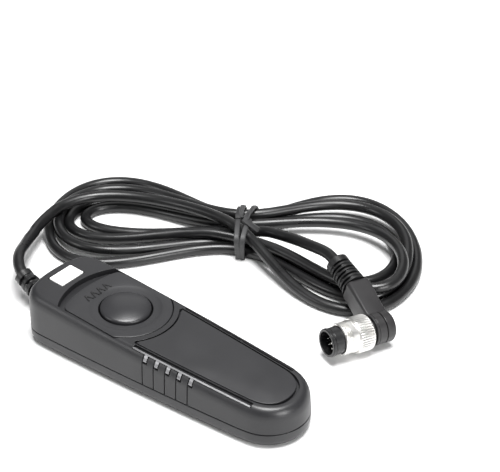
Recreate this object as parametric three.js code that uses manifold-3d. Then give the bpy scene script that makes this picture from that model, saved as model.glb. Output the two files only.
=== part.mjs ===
// Wired two-stage shutter release: a hand-held case with a sliding lock plate and a round button,
// a coiled signal cord held by a wire tie, and a right-angle ten-pin screw-coupling plug.
// Millimetres, +Z up, origin on the resting surface under the middle of the case,
// +X from the cord end of the case to its free end.
import * as THREE from 'three';
import { mergeVertices } from 'three/addons/utils/BufferGeometryUtils.js';
import Module from 'manifold-3d';

const wasm = await Module();
wasm.setup();

// ---- driving dimensions -------------------------------------------------------------------
const gap = 0.3; // clearance between touching pieces
const deg = Math.PI / 180;

// case
const caseRear = -55.05;
const caseFront = 55.05;
const frontRadius = 13.8;
const rearHalfWidth = 16.74; // half width of the case at widestX
const widestX = -49;
const sideBow = 3.36e-4; // how fast the sides close in towards the free end, 1/mm
const rearCornerLength = 10.7;
const rearCornerRun = 7.5;
const rearCornerWidth = 12.5;
const seamHeight = 5.6;
const wall = 2.0;
const baseFillet = 3.4;
const baseFilletInset = 3.2;
const shoulderDrop = 4.5;
const shoulderInset = 2.9;
const sideDraft = 0.3;

// sloping top deck: its frame has its origin at the button's centre
const buttonX = -19.05;
const deckHeight = 18.8;
const deckSlope = 3.6 * deg;
const deckThickness = 2.4;

// slide plate, its well and the button
const plateRadius = 16.0;
const plateHalfWidth = 14.1;
const plateRear = -18.2;
const plateRearRadius = 42;
const plateCorner = 3.2;
const plateThickness = 1.9;
const wellRear = -22.3;
const wellRearRadius = 26;
const wellDepth = plateThickness + gap;
const wellFloor = 1.4;
const holdTravel = 2.2;
const buttonRadius = 8.75;
const buttonHole = 9.25;
const buttonCrown = 1.9;
const cupRadius = 10.4;
const cupDepth = 5.2;
const stemRadius = 2.0;

// grip panel and its side trims
const gripRearRadius = 18.7;
const gripInset = 2.95;
const gripFrontInset = 4.6;
const gripDepth = 1.0;
const trimOuterInset = 1.25;
const trimWidth = 0.9;
const trimEndX = 41;
const tabCount = 5;
const tabStart = 2.5;
const tabPitch = 4.6;
const tabWidth = 1.3;
const tabThickness = 1.0;
const tabDrop = 2.5;

// cord
const cordDiameter = 4.4;
const cordSides = 8;

// plug: its frame has its origin at the middle of the drum, on the plug's own axis,
// +x towards the mouth, -y towards the cord
const plugPlace = new THREE.Vector3(47.75, 58.5, 6.6);
const plugAxisPlan = -113.6 * deg;
const plugAxisRise = 2.9 * deg;
const bootPlan = 155.67 * deg;
const bootRise = 14.13 * deg;
const drumRadius = 5.6;
const drumBack = -2.7;
const drumMiddle = 1.9; // parting line between cap and body, and middle of the boot
const drumFront = 6.0;
const ringBack = 7.3;
const ringKnurlEnd = 13.5;
const ringFront = 18.8;
const ringRadius = 6.4;
const threadRadius = 5.75;
const ringBore = 5.1;
const shroudRadius = 4.85;
const shroudBore = 4.1;
const shroudBack = 6.6;
const shroudFront = 23.6;
const socketDepth = 8.0;
const pinReach = 2.2; // how far the pins stand out of the insulator
const pinRadius = 0.34;
const bootEnd = 20.0;
const bootHalfWidth = 4.6; // at its cord end
const bootHalfDepth = 3.9;
const reliefEnd = 32.8;
const plugReliefRoot = 4.5;
const plugReliefTip = 3.9;

// ---- helpers ------------------------------------------------------------------------------
function toSolid(geometry) {
  const bare = geometry.clone();
  bare.deleteAttribute('normal');
  bare.deleteAttribute('uv');
  const merged = mergeVertices(bare, 1e-4);
  const mesh = new wasm.Mesh({
    numProp: 3,
    vertProperties: new Float32Array(merged.attributes.position.array),
    triVerts: new Uint32Array(merged.index.array),
  });
  return new wasm.Manifold(mesh);
}

function toGeometry(solid) {
  const mesh = solid.getMesh();
  const geometry = new THREE.BufferGeometry();
  geometry.setAttribute('position', new THREE.BufferAttribute(new Float32Array(mesh.vertProperties), 3));
  geometry.setIndex(new THREE.BufferAttribute(new Uint32Array(mesh.triVerts), 1));
  geometry.computeVertexNormals();
  return geometry;
}

function cut(base, ...cutters) {
  return cutters.reduce((solid, cutter) => solid.subtract(toSolid(cutter)), toSolid(base));
}

function join(...pieces) {
  return pieces.slice(1).reduce((solid, piece) => solid.add(toSolid(piece)), toSolid(pieces[0]));
}

// a closed body through a stack of rings of equal point count; both ends are capped
function loft(rings) {
  const count = rings[0].length;
  const points = rings.flat();
  const faces = [];
  for (let r = 0; r < rings.length - 1; r += 1) {
    for (let i = 0; i < count; i += 1) {
      const a = r * count + i;
      const b = r * count + ((i + 1) % count);
      faces.push(a, b, b + count, a, b + count, a + count);
    }
  }
  const middle = (ring) => ring.reduce((sum, p) => sum.add(p), new THREE.Vector3()).divideScalar(count);
  const bottom = points.push(middle(rings[0])) - 1;
  const top = points.push(middle(rings[rings.length - 1])) - 1;
  const last = (rings.length - 1) * count;
  for (let i = 0; i < count; i += 1) {
    const next = (i + 1) % count;
    faces.push(bottom, next, i, top, last + i, last + next);
  }
  const geometry = new THREE.BufferGeometry().setFromPoints(points);
  geometry.setIndex(faces);
  return geometry;
}

function prism(shape, low, high, curveSegments = 12) {
  const options = { depth: high - low, bevelEnabled: false, curveSegments };
  return new THREE.ExtrudeGeometry(shape, options).translate(0, 0, low);
}

function box(x0, x1, y0, y1, z0, z1) {
  const geometry = new THREE.BoxGeometry(x1 - x0, y1 - y0, z1 - z0);
  return geometry.translate((x0 + x1) / 2, (y0 + y1) / 2, (z0 + z1) / 2);
}

function post(radius, low, high, x = 0, y = 0, segments = 24) {
  const geometry = new THREE.CylinderGeometry(radius, radius, high - low, segments);
  return geometry.rotateX(90 * deg).translate(x, y, (low + high) / 2);
}

// a turned body about the x axis, from [distance along x, radius] pairs
function turned(profile, segments = 40) {
  const points = profile.map(([x, r]) => new THREE.Vector2(r, x));
  return new THREE.LatheGeometry(points, segments).rotateZ(-90 * deg);
}

// a turned body about the z axis, from [radius, height] pairs
function spun(profile, segments = 48) {
  const points = profile.map(([r, z]) => new THREE.Vector2(r, z));
  return new THREE.LatheGeometry(points, segments).rotateX(90 * deg);
}

function disc(radius, sides) {
  const shape = new THREE.Shape();
  for (let i = 0; i < sides; i += 1) {
    const a = (i / sides) * 2 * Math.PI;
    if (i === 0) shape.moveTo(radius, 0);
    else shape.lineTo(radius * Math.cos(a), radius * Math.sin(a));
  }
  shape.closePath();
  return shape;
}

function tube(points, radius, steps, sides = cordSides) {
  const curve = new THREE.CatmullRomCurve3(points.map((p) => new THREE.Vector3(...p)), false, 'centripetal');
  return new THREE.ExtrudeGeometry(disc(radius, sides), { steps, bevelEnabled: false, extrudePath: curve });
}

function named(name, geometry, color, roughness, metalness = 0) {
  const shape = geometry.isBufferGeometry ? geometry : toGeometry(geometry);
  const mesh = new THREE.Mesh(shape, new THREE.MeshStandardMaterial({ color, roughness, metalness }));
  mesh.name = name;
  return mesh;
}

// ---- case outline -------------------------------------------------------------------------
function halfWidth(x) {
  return rearHalfWidth - sideBow * (x - widestX) ** 2;
}

const frontCentre = caseFront - frontRadius;
const frontJoin = frontCentre + 1.0;

// half of the outline, from the middle of the rear end to the tip of the free end
function halfOutline(perStretch = 14) {
  const sideStart = caseRear + rearCornerLength;
  const corner = new THREE.CubicBezierCurve(
    new THREE.Vector2(caseRear, 0),
    new THREE.Vector2(caseRear, rearCornerWidth),
    new THREE.Vector2(sideStart - rearCornerRun, halfWidth(sideStart)),
    new THREE.Vector2(sideStart, halfWidth(sideStart)),
  );
  const points = corner.getPoints(perStretch);
  for (let i = 1; i < perStretch; i += 1) {
    const x = sideStart + ((frontJoin - sideStart) * i) / perStretch;
    points.push(new THREE.Vector2(x, halfWidth(x)));
  }
  for (let i = 0; i <= perStretch; i += 1) {
    const a = (86 * deg * (perStretch - i)) / perStretch;
    points.push(new THREE.Vector2(frontCentre + frontRadius * Math.cos(a), frontRadius * Math.sin(a)));
  }
  return points;
}

// the whole outline, anticlockwise seen from above, moved inwards by inset
function outline(inset = 0) {
  const half = halfOutline();
  const mirrored = half.map((p) => new THREE.Vector2(p.x, -p.y));
  const loop = [...mirrored, ...half.slice(1, -1).reverse()];
  return loop.map((p, i) => {
    const before = loop[(i + loop.length - 1) % loop.length];
    const after = loop[(i + 1) % loop.length];
    const along = after.clone().sub(before).normalize();
    return new THREE.Vector2(p.x - along.y * inset, p.y + along.x * inset);
  });
}

function deckZ(x) {
  return deckHeight - (x - buttonX) * Math.tan(deckSlope);
}

function ringAt(inset, height) {
  const z = typeof height === 'function' ? height : () => height;
  return outline(inset).map((p) => new THREE.Vector3(p.x, p.y, z(p.x)));
}

// ---- deck shapes, in the deck's frame ------------------------------------------------------
const deckPlace = new THREE.Matrix4()
  .makeTranslation(buttonX, 0, deckHeight)
  .multiply(new THREE.Matrix4().makeRotationY(deckSlope));

function onDeck(geometry) {
  return geometry.applyMatrix4(deckPlace);
}

// a plate with a round front, straight sides and a gently arched rear edge
function plateShape(radius, side, rear, rearRadius, corner) {
  const shape = new THREE.Shape();
  const rearCentre = rear + rearRadius;
  const frontAngle = Math.asin(side / radius);
  const arcSide = side - corner * 0.85;
  const rearAngle = Math.asin(arcSide / rearRadius);
  const arcX = rearCentre - rearRadius * Math.cos(rearAngle);
  shape.moveTo(radius * Math.cos(frontAngle), -side);
  shape.absarc(0, 0, radius, -frontAngle, frontAngle, false);
  shape.lineTo(arcX + corner, side);
  shape.quadraticCurveTo(arcX + corner * 0.15, side, arcX, arcSide);
  shape.absarc(rearCentre, 0, rearRadius, Math.PI - rearAngle, Math.PI + rearAngle, false);
  shape.quadraticCurveTo(arcX + corner * 0.15, -side, arcX + corner, -side);
  shape.closePath();
  return shape;
}

// a slot with round ends, long in x
function slotShape(radius, from, to) {
  const shape = new THREE.Shape();
  shape.moveTo(from, -radius);
  shape.lineTo(to, -radius);
  shape.absarc(to, 0, radius, -90 * deg, 90 * deg, false);
  shape.lineTo(from, radius);
  shape.absarc(from, 0, radius, 90 * deg, 270 * deg, false);
  return shape;
}

// grip panel seen from above: hollow rear end round the plate, sides that follow the case, round free end
function gripShape(grow = 0) {
  const shape = new THREE.Shape();
  const inset = gripInset - grow;
  const rearRadius = gripRearRadius - grow;
  const side = (x) => halfWidth(x + buttonX) - inset;
  const rearX = 15.4 - grow;
  const rearY = side(rearX);
  const rearAngle = Math.asin(Math.min(0.98, (rearY - 1.2) / rearRadius));
  const tip = caseFront - buttonX - gripFrontInset + grow;
  const round = 10.4 + grow;
  const sideEnd = tip - round;
  shape.moveTo(rearRadius * Math.cos(rearAngle), -rearRadius * Math.sin(rearAngle));
  shape.lineTo(rearX + 0.6, -rearY);
  for (let i = 1; i <= 6; i += 1) {
    const x = rearX + 0.6 + ((sideEnd - rearX - 0.6) * i) / 6;
    shape.lineTo(x, -side(x));
  }
  shape.bezierCurveTo(tip - 3.2, -side(sideEnd) * 0.98, tip, -5.5, tip, 0);
  shape.bezierCurveTo(tip, 5.5, tip - 3.2, side(sideEnd) * 0.98, sideEnd, side(sideEnd));
  for (let i = 5; i >= 0; i -= 1) {
    const x = rearX + 0.6 + ((sideEnd - rearX - 0.6) * i) / 6;
    shape.lineTo(x, side(x));
  }
  shape.lineTo(rearRadius * Math.cos(rearAngle), rearRadius * Math.sin(rearAngle));
  shape.absarc(0, 0, rearRadius, rearAngle, -rearAngle, true);
  return shape;
}

// one side trim: a thin strip beside the panel with tabs that hang over the shoulder
function trimBody(side, grow, low, high) {
  const from = 16.2 - grow;
  const to = trimEndX - buttonX + grow;
  const strip = new THREE.Shape();
  const outer = (x) => halfWidth(x + buttonX) - trimOuterInset + grow;
  const inner = (x) => outer(x) - trimWidth - 2 * grow;
  const steps = 8;
  const at = (i) => from + ((to - from) * i) / steps;
  strip.moveTo(from, inner(from));
  for (let i = 1; i <= steps; i += 1) strip.lineTo(at(i), inner(at(i)));
  for (let i = steps; i >= 0; i -= 1) strip.lineTo(at(i), outer(at(i)));
  strip.closePath();
  let body = toSolid(prism(strip, low, high));
  for (let i = 0; i < tabCount; i += 1) {
    const x = tabStart - buttonX + i * tabPitch;
    const root = outer(x) - 0.3;
    const half = tabWidth / 2 + grow;
    const tab = box(x - half, x + half, root - grow, root + tabThickness + grow, -tabDrop - grow, high);
    body = body.add(toSolid(tab));
  }
  const turn = new THREE.Matrix4().makeScale(1, side, 1);
  const geometry = toGeometry(body).applyMatrix4(turn);
  if (side < 0) geometry.setIndex([...geometry.index.array].reverse());
  return geometry;
}

// ---- case shells --------------------------------------------------------------------------
const screwSpots = [[-45, 10.6], [-45, -10.6], [43, 0]];
const reliefBore = 3.3;
const reliefAxisZ = 6.8;

function reliefHole(radius) {
  return turned([[-8, 0], [-8, radius], [8, radius], [8, 0]], 24).translate(caseRear, 0, reliefAxisZ);
}

function bottomShell() {
  const rings = [];
  for (let i = 0; i <= 4; i += 1) {
    const a = (i / 4) * 90 * deg;
    rings.push(ringAt(baseFilletInset * (1 - Math.sin(a)), baseFillet * (1 - Math.cos(a))));
  }
  rings.push(ringAt(0, seamHeight - gap / 2));
  const hollow = loft([
    ringAt(wall + 1.6, wall - 0.2),
    ringAt(wall, wall + 1.8),
    ringAt(wall, seamHeight + 1),
  ]);
  let shell = cut(loft(rings), hollow);
  for (const [x, y] of screwSpots) {
    shell = shell.add(toSolid(post(4.0, 0.2, 4.6, x, y)));
    shell = shell.subtract(toSolid(post(2.7, -1, 1.9, x, y)));
    shell = shell.subtract(toSolid(post(1.5, -1, 6, x, y, 16)));
  }
  return shell.subtract(toSolid(reliefHole(reliefBore)));
}

function topShell() {
  const low = seamHeight + gap / 2;
  const rings = [ringAt(0, low)];
  for (let i = 0; i <= 5; i += 1) {
    const a = (i / 5) * 90 * deg;
    const inset = sideDraft + shoulderInset * (1 - Math.cos(a));
    rings.push(ringAt(inset, (x) => deckZ(x) - shoulderDrop * (1 - Math.sin(a))));
  }
  const roof = (x) => deckZ(x) - deckThickness;
  const hollow = loft([
    ringAt(wall, low - 1),
    ringAt(wall + 0.3, (x) => roof(x) - 3.4),
    ringAt(wall + 2.2, roof),
  ]);
  let shell = cut(loft(rings), hollow);
  const floor = plateShape(plateRadius + 1.2, plateHalfWidth + 0.4, wellRear - 0.8, wellRearRadius, 1.2);
  shell = shell.add(toSolid(onDeck(prism(floor, -wellDepth - wellFloor, -wellDepth + 0.2, 10))));
  const well = plateShape(plateRadius + gap, plateHalfWidth + gap, wellRear, wellRearRadius, 0.8);
  shell = shell.subtract(toSolid(onDeck(prism(well, -wellDepth, 3, 10))));
  const slot = slotShape(cupRadius + gap, -holdTravel - gap, 0);
  shell = shell.subtract(toSolid(onDeck(prism(slot, -8, 3, 12))));
  shell = shell.subtract(toSolid(onDeck(prism(gripShape(gap), -gripDepth - gap, 3, 8))));
  for (const side of [1, -1]) shell = shell.subtract(toSolid(onDeck(trimBody(side, gap, -1.3, 3))));
  for (const [x, y] of screwSpots) {
    shell = shell.add(toSolid(post(3.0, 5.0, roof(x) + 0.6, x, y, 16)));
    shell = shell.subtract(toSolid(post(1.55, 4.0, 12.5, x, y, 16)));
  }
  shell = shell.subtract(toSolid(reliefHole(reliefBore)));
  const badgeSeat = box(-31.2, -24.2, -5.6, 5.6, -0.6, 3);
  return shell.subtract(toSolid(onDeck(badgeSeat)));
}

function caseScrew([x, y], i) {
  const head = post(2.3, 0.5, 1.6, x, y, 24);
  const shank = post(1.2, 1.4, 11.5, x, y, 12);
  return named(`case_screw_${i + 1}`, join(head, shank), 0xb8b8bc, 0.35, 1);
}

// ---- handset: what rides on the deck -------------------------------------------------------
function slidePlate() {
  const shape = plateShape(plateRadius, plateHalfWidth, plateRear, plateRearRadius, plateCorner);
  const sheet = prism(shape, -plateThickness, 0, 14);
  const cup = post(cupRadius, -cupDepth, -plateThickness + 0.1, 0, 0, 48);
  const bore = post(buttonHole, -cupDepth + 0.9, 2, 0, 0, 48);
  const dish = spun([[0, -0.45], [buttonHole - 0.2, -0.45], [12.3, 0.02], [12.3, 1], [0, 1]]);
  const stemHole = post(stemRadius + gap, -8, 0, 0, 0, 24);
  return join(sheet, cup).subtract(toSolid(bore)).subtract(toSolid(dish)).subtract(toSolid(stemHole));
}

function shutterButton() {
  const profile = [
    [0, -7.2], [stemRadius, -7.2], [stemRadius, -0.2],
    [7.4, -0.2], [7.4, -1.9], [buttonRadius, -1.9],
  ];
  profile.push([buttonRadius, -0.3], [8.45, 0.4], [7.6, 0.95], [5.2, 1.55], [2.6, 1.82], [0, buttonCrown]);
  return spun(profile, 40);
}

function returnSpring() {
  const turns = 3.5;
  const low = -4.0;
  const high = -0.75;
  const radius = 4.6;
  const points = [];
  for (let i = 0; i <= turns * 10; i += 1) {
    const a = (i / 10) * 2 * Math.PI;
    points.push([radius * Math.cos(a), radius * Math.sin(a), low + ((high - low) * i) / (turns * 10)]);
  }
  return tube(points, 0.25, turns * 14, 5);
}

// ---- handset: switch inside the case -------------------------------------------------------
function switchParts() {
  const parts = [];
  const x = buttonX;
  const board = box(x - 13, x + 17, -8.5, 8.5, 4.4, 6.0);
  parts.push(named('switch_board', board, 0x2f5d3a, 0.6));
  const leaves = [['full_press_leaf', 6.3, 10.8], ['half_press_leaf', 7.7, 13.0], ['common_leaf', 9.1, 15.2]];
  leaves.forEach(([name, z, reach], i) => {
    const strip = box(x - 6, x + reach, -2.5, 2.5, z, z + 0.35);
    const dimple = post(1.3, z - 0.55, z + 0.1, x, 0, 16);
    const foot = box(x + reach - 1.6, x + reach, -2.5, 2.5, i === 0 ? z : 6.3, z + 0.35);
    parts.push(named(name, i === 0 ? strip : join(strip, dimple, foot), 0xc9a227, 0.3, 1));
  });
  return parts;
}

function leadWires() {
  const wires = [
    ['wire_common', 0xb03028, 1.9],
    ['wire_half_press', 0xd8d8d8, 0],
    ['wire_full_press', 0x202020, -1.9],
  ];
  return wires.map(([name, color, y]) => {
    const start = [caseRear + 11.6, y * 0.6, reliefAxisZ];
    const end = [buttonX - 13.4, y * 2, 5.2];
    const middle = [(start[0] + end[0]) / 2, y * 1.5, 6.0];
    return named(name, tube([start, middle, end], 0.5, 8, 6), color, 0.5);
  });
}

function cordClamp() {
  const bar = box(caseRear + 5.6, caseRear + 8.6, -5.4, 5.4, 10.0, 11.4);
  return bar;
}

// ---- strain reliefs ------------------------------------------------------------------------
// a tapered sleeve along x with ribs, from [0, length]
function ribbedSleeve(length, rootRadius, tipRadius, ribs, bore) {
  const profile = [[0, bore], [0, rootRadius]];
  const collar = 2.2;
  const pitch = (length - collar) / ribs;
  for (let i = 0; i < ribs; i += 1) {
    const radius = rootRadius + ((tipRadius - rootRadius) * i) / ribs;
    const x = i * pitch;
    profile.push([x + pitch * 0.55, radius], [x + pitch * 0.6, radius - 0.9]);
    profile.push([x + pitch * 0.95, radius - 0.95]);
    profile.push([x + pitch, radius - 0.1]);
  }
  profile.push([length, tipRadius], [length, bore], [0, bore]);
  return turned(profile, 20);
}

// the same sleeve bent along a quadratic route: start, control and end points
function bent(geometry, length, start, control, end) {
  const route = new THREE.QuadraticBezierCurve3(start, control, end);
  const position = geometry.attributes.position;
  const up = new THREE.Vector3(0, 0, 1);
  for (let i = 0; i < position.count; i += 1) {
    const t = Math.min(1, Math.max(0, position.getX(i) / length));
    const centre = route.getPoint(t);
    const along = route.getTangent(t);
    const across = up.clone().cross(along).normalize();
    const above = along.clone().cross(across).normalize();
    centre.addScaledVector(across, position.getY(i)).addScaledVector(above, position.getZ(i));
    position.setXYZ(i, centre.x, centre.y, centre.z);
  }
  return geometry;
}

const reliefCore = 1.4; // radius of the conductors' bore
const reliefLength = 16.5;
const reliefRoot = new THREE.Vector3(caseRear - gap, 0, reliefAxisZ);
const reliefTip = new THREE.Vector3(-71.4, 1.6, 10.0);
const reliefBend = new THREE.Vector3(-63.5, 0, 6.8);

function handsetRelief() {
  const straight = ribbedSleeve(reliefLength, 4.3, 3.0, 5, reliefCore);
  const sleeve = bent(straight, reliefLength, reliefRoot, reliefBend, reliefTip);
  const neckEnd = 10.5;
  const neckRadius = 2.9;
  const neck = turned([
    [0, reliefCore], [0, neckRadius], [neckEnd, neckRadius], [neckEnd, reliefCore], [0, reliefCore],
  ], 20);
  return join(sleeve, neck.translate(caseRear - gap - 0.1, 0, reliefAxisZ));
}

// ---- cord ----------------------------------------------------------------------------------
const leadRoute = [
  [-72.2, 2.0, 10.3], [-75.4, 3.8, 11.2], [-79.6, 7.6, 11.1], [-83.4, 12.2, 10.0], [-87.0, 17.6, 8.6],
  [-90.4, 23.6, 7.7], [-93.0, 29.6, 7.5],
];
const tailRoute = [
  [-22.0, 81.4, 7.4], [-16.0, 81.9, 8.4], [-9.8, 81.2, 9.6], [2.5, 77.7, 12.7], [13.1, 74.1, 14.9],
  [17.9, 71.95, 14.8],
];

// the coil lies in its own frame: waist at the origin, long axis along x
const waist = new THREE.Vector3(-30, 80, 0);
const coilTurn = 29.5 * deg;
const coilLow = 1.3;
const coilHigh = 9.7;

function inCoil(geometry) {
  return geometry.rotateZ(coilTurn).translate(waist.x, waist.y, 0);
}

function coilShape() {
  const shape = new THREE.Shape();
  shape.moveTo(0, 13);
  shape.bezierCurveTo(-20, 22, -36, 43, -58, 43);
  shape.bezierCurveTo(-72, 43, -80, 32, -80, 14);
  shape.bezierCurveTo(-80, -8, -74, -28, -60, -28);
  shape.bezierCurveTo(-38, -28, -22, -11, 0, -13);
  shape.bezierCurveTo(18, -16, 26, -46, 46, -46);
  shape.bezierCurveTo(62, -46, 69, -26, 69, -4);
  shape.bezierCurveTo(69, 22, 58, 41, 40, 41);
  shape.bezierCurveTo(22, 41, 16, 20, 0, 13);
  const eye = new THREE.Path();
  eye.moveTo(15, 2);
  eye.bezierCurveTo(22, 8, 34, 10, 42, 6);
  eye.bezierCurveTo(52, 0, 52, -20, 44, -26);
  eye.bezierCurveTo(36, -30, 26, -14, 15, 2);
  shape.holes.push(eye);
  return shape;
}

function plugFrame() {
  const alongPlug = new THREE.Vector3(
    Math.cos(plugAxisPlan) * Math.cos(plugAxisRise),
    Math.sin(plugAxisPlan) * Math.cos(plugAxisRise),
    Math.sin(plugAxisRise),
  );
  const towardsCord = new THREE.Vector3(
    Math.cos(bootPlan) * Math.cos(bootRise),
    Math.sin(bootPlan) * Math.cos(bootRise),
    Math.sin(bootRise),
  );
  const up = towardsCord.clone().cross(alongPlug).normalize();
  const side = up.clone().cross(alongPlug).normalize();
  return new THREE.Matrix4().makeBasis(alongPlug, side, up).setPosition(plugPlace);
}

function cordCoil() {
  const slab = inCoil(prism(coilShape(), coilLow, coilHigh, 8));
  const room = box(-9, 9, -34, 8, -9, 9).applyMatrix4(plugFrame());
  const lead = box(-100, -88, 20, 33, 0, 20);
  const channel = tube([[-23.5, 81.0, 7.2], ...tailRoute], cordDiameter / 2 + gap, 14, 10);
  return cut(slab, room, lead, channel);
}

function cordTie() {
  const half = 14.6;
  const outer = box(-2.2, 2.2, -half - 0.8, half + 0.8, 0.1, coilHigh + gap + 0.8);
  const inner = box(-3, 3, -half, half, coilLow - gap, coilHigh + gap);
  return inCoil(toGeometry(cut(outer, inner)));
}

// ---- plug ----------------------------------------------------------------------------------
function pinSpots() {
  const spots = [];
  for (let i = 0; i < 8; i += 1) {
    const a = (22.5 + i * 45) * deg;
    spots.push([2.75 * Math.cos(a), 2.75 * Math.sin(a)]);
  }
  spots.push([0, 0.95], [0, -0.95]);
  return spots;
}

function knurledRing() {
  const points = [];
  const ribs = 30;
  for (let i = 0; i < ribs; i += 1) {
    for (const [part, depth] of [[0, 0], [0.5, 0], [0.6, 0.3], [0.9, 0.3]]) {
      const r = ringRadius - depth;
      const a = ((i + part) / ribs) * 2 * Math.PI;
      points.push(new THREE.Vector2(r * Math.cos(a), r * Math.sin(a)));
    }
  }
  const knurl = prism(new THREE.Shape(points), 0, ringKnurlEnd - ringBack).rotateY(90 * deg);
  const grip = knurl.translate(ringBack, 0, 0);
  const barrelBack = ringKnurlEnd - 1;
  const neck = turned([
    [barrelBack, 0], [barrelBack, threadRadius], [ringFront, threadRadius], [ringFront, 0],
  ]);
  const bore = turned([[0, 0], [0, ringBore], [30, ringBore], [30, 0]]);
  return join(grip, neck).subtract(toSolid(bore));
}

function plugParts() {
  const drum = turned([
    [drumBack, 0], [drumBack, drumRadius - 1.2], [drumBack + 0.4, drumRadius - 0.4],
    [drumBack + 1.2, drumRadius], [drumMiddle - gap / 2, drumRadius], [drumMiddle - gap / 2, 0],
  ]);
  const neckRadius = 4.4;
  const bodyBack = drumMiddle + gap / 2;
  const body = turned([
    [bodyBack, 0], [bodyBack, drumRadius], [drumFront, drumRadius], [drumFront, neckRadius],
    [shroudBack - gap, neckRadius], [shroudBack - gap, 0],
  ]);
  const boot = new THREE.Shape();
  boot.moveTo(bodyBack, -2);
  boot.lineTo(bodyBack, -9);
  boot.lineTo(-bootHalfWidth, -bootEnd + 6);
  boot.lineTo(-bootHalfWidth, -bootEnd);
  boot.lineTo(bootHalfWidth, -bootEnd);
  boot.lineTo(bootHalfWidth + drumMiddle / 2, -9);
  boot.lineTo(drumFront - gap, -2);
  const arm = prism(boot, -bootHalfDepth, bootHalfDepth);
  const capBack = drumBack + gap;
  const capArm = box(capBack, drumMiddle - gap / 2, -8.6, -2, -bootHalfDepth, bootHalfDepth);
  const front = join(body, arm).subtract(toSolid(box(capBack - 1, bodyBack, -8.9, 6, -5, 5)));
  const shroud = turned([
    [shroudBack, 0], [shroudBack, shroudRadius], [shroudFront - 1.4, shroudRadius],
    [shroudFront - 1.1, shroudRadius + 0.2],
    [shroudFront - 0.3, shroudRadius + 0.2], [shroudFront, shroudRadius - 0.1], [shroudFront, shroudBore],
    [shroudFront - socketDepth, shroudBore], [shroudFront - socketDepth, 0],
  ]);
  const face = shroudFront - socketDepth;
  const seatBack = shroudBack + 1;
  const seatRadius = 3.8;
  const blockBack = seatBack + gap;
  const blockRadius = seatRadius - gap;
  const seat = turned([[seatBack, 0], [seatBack, seatRadius], [30, seatRadius], [30, 0]]);
  const socket = cut(shroud, seat);
  let block = toSolid(turned([[blockBack, 0], [blockBack, blockRadius], [face, blockRadius], [face, 0]]));
  const parts = [
    named('plug_cap', join(drum, capArm), 0x26262a, 0.5),
    named('plug_body', front, 0x26262a, 0.5),
    named('plug_shroud', socket, 0x1b1b1d, 0.4),
  ];
  const pins = pinSpots().map(([y, z], i) => {
    const foot = face - 4.3;
    const tip = face + pinReach;
    const holeRadius = pinRadius + 0.28;
    const holeBack = foot - gap;
    const hole = turned([[holeBack, 0], [holeBack, holeRadius], [face + 1, holeRadius], [face + 1, 0]], 10);
    block = block.subtract(toSolid(hole.translate(0, y, z)));
    const pin = turned([[foot, 0], [foot, pinRadius], [tip - 0.3, pinRadius], [tip, 0.15], [tip, 0]], 10);
    const label = String(i + 1).padStart(2, '0');
    return named(`contact_pin_${label}`, pin.translate(0, y, z), 0xd8d8dc, 0.25, 1);
  });
  parts.push(named('pin_block', block, 0x141416, 0.5), ...pins);
  parts.push(named('coupling_ring', knurledRing(), 0xc4c4c8, 0.25, 1));
  const sleeve = ribbedSleeve(reliefEnd - bootEnd - gap, plugReliefRoot, plugReliefTip, 5, 1.4);
  const relief = sleeve.rotateZ(-90 * deg);
  parts.push(named('plug_relief', relief.translate(0, -bootEnd - gap, 0), 0x26262a, 0.6));
  return parts;
}

// ---- assembly ------------------------------------------------------------------------------
const blackPlastic = 0x2a2a2c;
const release = new THREE.Group();
release.add(named('bottom_shell', bottomShell(), 0x303032, 0.55));
release.add(named('top_shell', topShell(), blackPlastic, 0.55));
screwSpots.forEach((spot, i) => release.add(caseScrew(spot, i)));
for (const part of switchParts()) release.add(part);
for (const wire of leadWires()) release.add(wire);
release.add(named('cord_clamp', cordClamp(), 0x8a8a8e, 0.5));
release.add(named('handset_relief', handsetRelief(), 0x26262a, 0.6));

const deck = new THREE.Group();
deck.applyMatrix4(deckPlace);
deck.add(named('slide_plate', slidePlate(), 0x2d2d2f, 0.5));
deck.add(named('shutter_button', shutterButton(), 0x2b2b2d, 0.4));
deck.add(named('return_spring', returnSpring(), 0xb9bbc0, 0.3, 1));
deck.add(named('grip_panel', prism(gripShape(), -gripDepth, 0, 8), 0x232325, 0.45));
deck.add(named('trim_left', trimBody(1, 0, -1.0, -0.1), 0xa8a8aa, 0.3, 1));
deck.add(named('trim_right', trimBody(-1, 0, -1.0, -0.1), 0xa8a8aa, 0.3, 1));
deck.add(named('badge', box(-30.9, -24.5, -5.3, 5.3, -0.3, 0.2), 0xf2f2f2, 0.4));
release.add(deck);

release.add(named('cord_lead', tube(leadRoute, cordDiameter / 2, 10), 0x1c1c1e, 0.5));
release.add(named('cord_coil', cordCoil(), 0x1c1c1e, 0.5));
release.add(named('cord_tie', cordTie(), 0x4a4a4c, 0.6));
release.add(named('cord_tail', tube(tailRoute, cordDiameter / 2, 12), 0x1c1c1e, 0.5));

const plug = new THREE.Group();
plug.applyMatrix4(plugFrame());
for (const part of plugParts()) plug.add(part);
release.add(plug);

export default release;
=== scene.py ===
import math

import bmesh
import bpy
import numpy as np
from mathutils import Matrix, Vector


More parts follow.
